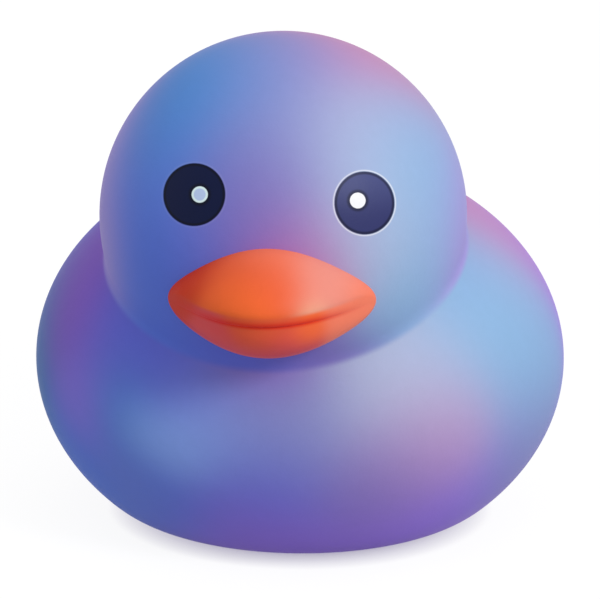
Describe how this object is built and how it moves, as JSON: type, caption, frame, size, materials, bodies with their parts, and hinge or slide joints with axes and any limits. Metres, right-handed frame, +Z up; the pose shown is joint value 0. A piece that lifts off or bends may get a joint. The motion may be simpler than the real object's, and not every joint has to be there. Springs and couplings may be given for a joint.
{
  "type": "squishy duck",
  "caption": "Soft foam toy duck in one moulding: round body on a flat foot, ball head, short bill and upturned tail. It is squeezed in the hand and rises back slowly.",
  "frame": {"origin": "middle of the flat foot under the body", "axes": "+Z up; the duck faces -Y, and +X is to the right of someone who looks at its face"},
  "size_m": [0.09, 0.1101, 0.0871],
  "materials": {
    "painted_foam": "satin skin of soft slow-rise foam, airbrushed blue, lavender, purple and pink, with an orange bill and printed navy eyes"
  },
  "bodies": {
    "root": {"duck": "painted_foam"}
  },
  "joints": []
}
